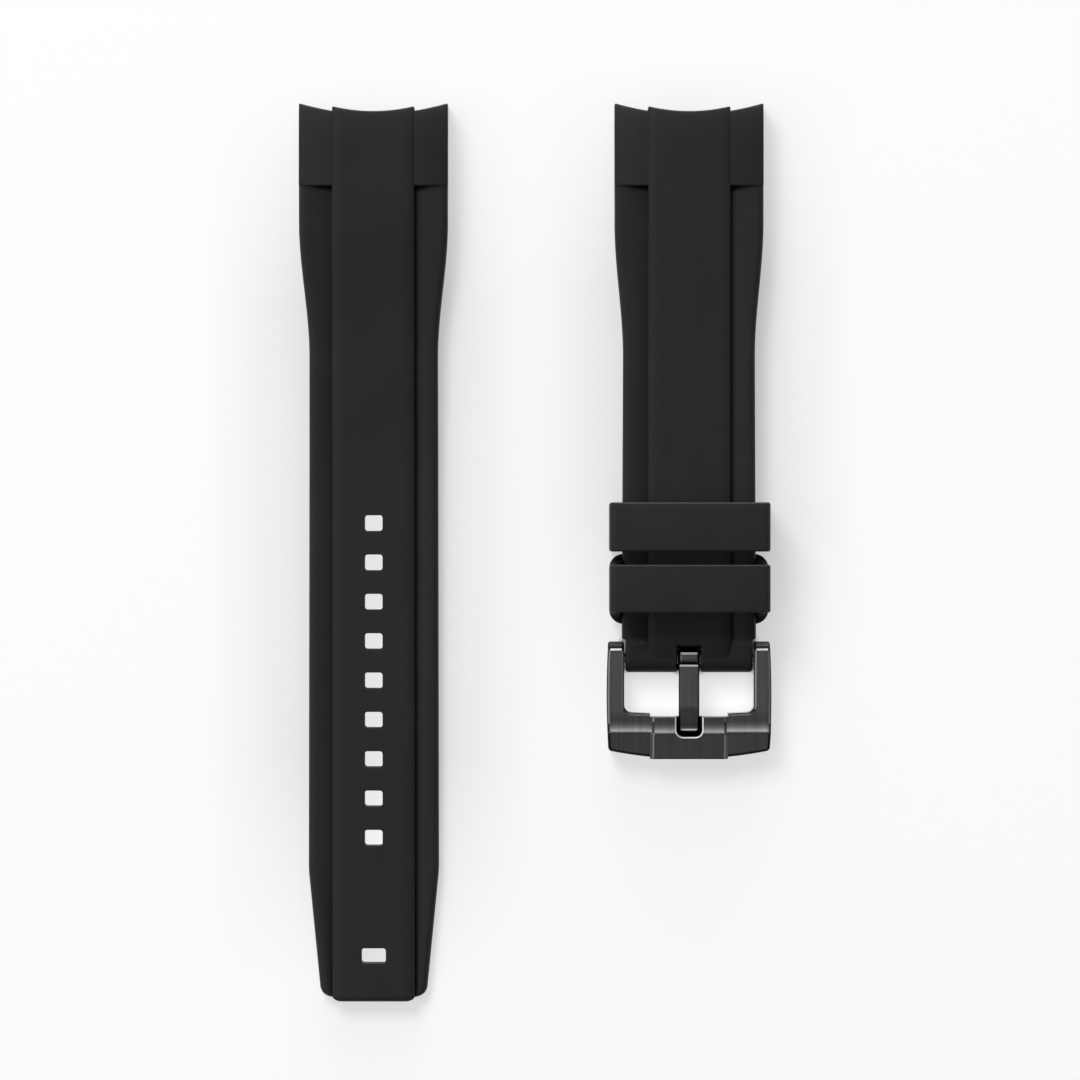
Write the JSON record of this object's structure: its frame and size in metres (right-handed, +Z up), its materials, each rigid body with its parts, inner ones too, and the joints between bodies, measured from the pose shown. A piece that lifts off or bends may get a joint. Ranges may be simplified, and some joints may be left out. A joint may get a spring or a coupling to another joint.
{
  "type": "rubber dive strap",
  "caption": "Moulded rubber watch strap in halves with curved case ends, a raised centre rib, square holes, keepers and a brushed gunmetal pin buckle.",
  "frame": {"origin": "on the table, under the middle of the two halves laid side by side", "axes": "+Y along both halves towards their curved case ends, +X from the tail half to the buckle half, +Z up from the table, the side that shows when worn"},
  "size_m": [0.0634, 0.1208, 0.0108],
  "materials": {
    "rubber": "matte moulded black FKM rubber with a fine satin skin",
    "keeper_rubber": "matte moulded black FKM rubber with a fine satin skin",
    "gunmetal": "dark gunmetal coated stainless steel, brushed along the strap, with bright polished bevels",
    "bar_steel": "turned stainless steel"
  },
  "bodies": {
    "straps": {"tail_strap": "rubber", "tail_lug_tube": "bar_steel", "buckle_strap": "rubber", "buckle_lug_tube": "bar_steel", "spring_bar_tube": "bar_steel", "spring_bar_spring": "bar_steel"},
    "free_keeper": {"free_keeper": "keeper_rubber"},
    "buckle_frame": {"buckle_frame": "gunmetal"},
    "buckle_tongue": {"buckle_tongue": "gunmetal"},
    "left_pin": {"spring_bar_pin_left": "bar_steel"},
    "right_pin": {"spring_bar_pin_right": "bar_steel"}
  },
  "joints": [
    {"name": "keeper_slide", "type": "slide", "parent": "straps", "child": "free_keeper", "axis": [0, 1, 0], "range_m": [0, 0.022]},
    {"name": "buckle_swing", "type": "hinge", "parent": "straps", "child": "buckle_frame", "pos_m": [0.02068, -0.01418, 0.0026], "axis": [-1, 0, 0], "range_deg": [-85, 25]},
    {"name": "tongue_swing", "type": "hinge", "parent": "buckle_frame", "child": "buckle_tongue", "pos_m": [0.02068, -0.01418, 0.0026], "axis": [-1, 0, 0], "range_deg": [0, 55]},
    {"name": "left_pin_slide", "type": "slide", "parent": "straps", "child": "left_pin", "axis": [1, 0, 0], "range_m": [0, 0.0012], "stiffness_N_per_m": 800, "deforming": ["spring_bar_spring"]},
    {"name": "right_pin_slide", "type": "slide", "parent": "straps", "child": "right_pin", "axis": [-1, 0, 0], "range_m": [0, 0.0012], "stiffness_N_per_m": 800}
  ]
}
